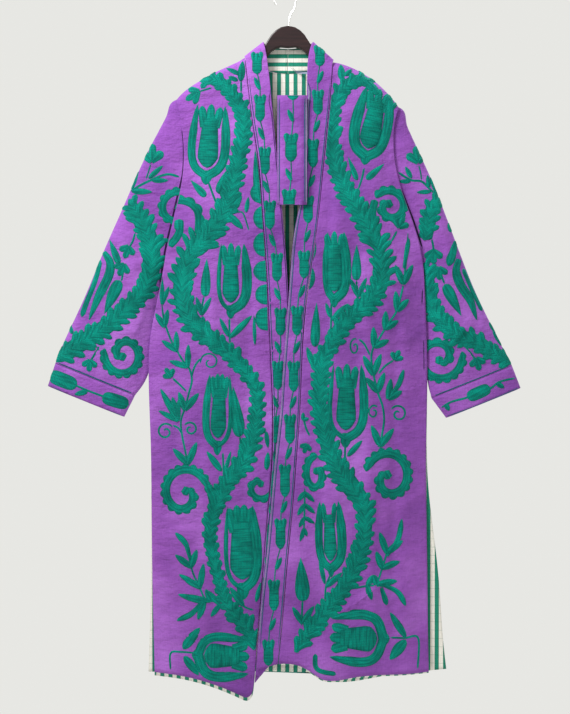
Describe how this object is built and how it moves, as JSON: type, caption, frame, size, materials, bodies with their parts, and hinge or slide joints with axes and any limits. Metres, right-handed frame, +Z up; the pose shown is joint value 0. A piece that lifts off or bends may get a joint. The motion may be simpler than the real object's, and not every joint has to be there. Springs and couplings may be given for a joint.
{
  "type": "kimono jacket hung on a wooden hanger",
  "caption": "Long open-fronted kimono coat with wide sleeves, a collar band, side slits, striped lining and a folded belt, hung flat on a wooden hanger.",
  "frame": {"origin": "inside of the hook's crown, where the hanger bears on what holds it", "axes": "+Z up, +X to the right as the coat is seen from its front, +Y from the front of the coat to its back"},
  "size_m": [0.933, 0.0663, 1.3993],
  "materials": {
    "cotton": "matt woven cotton with raised wool embroidery",
    "lining": "matt striped cotton",
    "wood": "dark satin varnish",
    "steel": "bright wire"
  },
  "bodies": {
    "root": {"back": "cotton", "front_left": "cotton", "front_right": "cotton", "band_left": "cotton", "band_right": "cotton", "sleeve_left": "cotton", "sleeve_right": "cotton", "cuff_left": "cotton", "cuff_right": "cotton", "belt": "cotton", "lining_back": "lining", "lining_front_left": "lining", "lining_front_right": "lining", "hanger": "wood", "hook": "steel"}
  },
  "joints": []
}
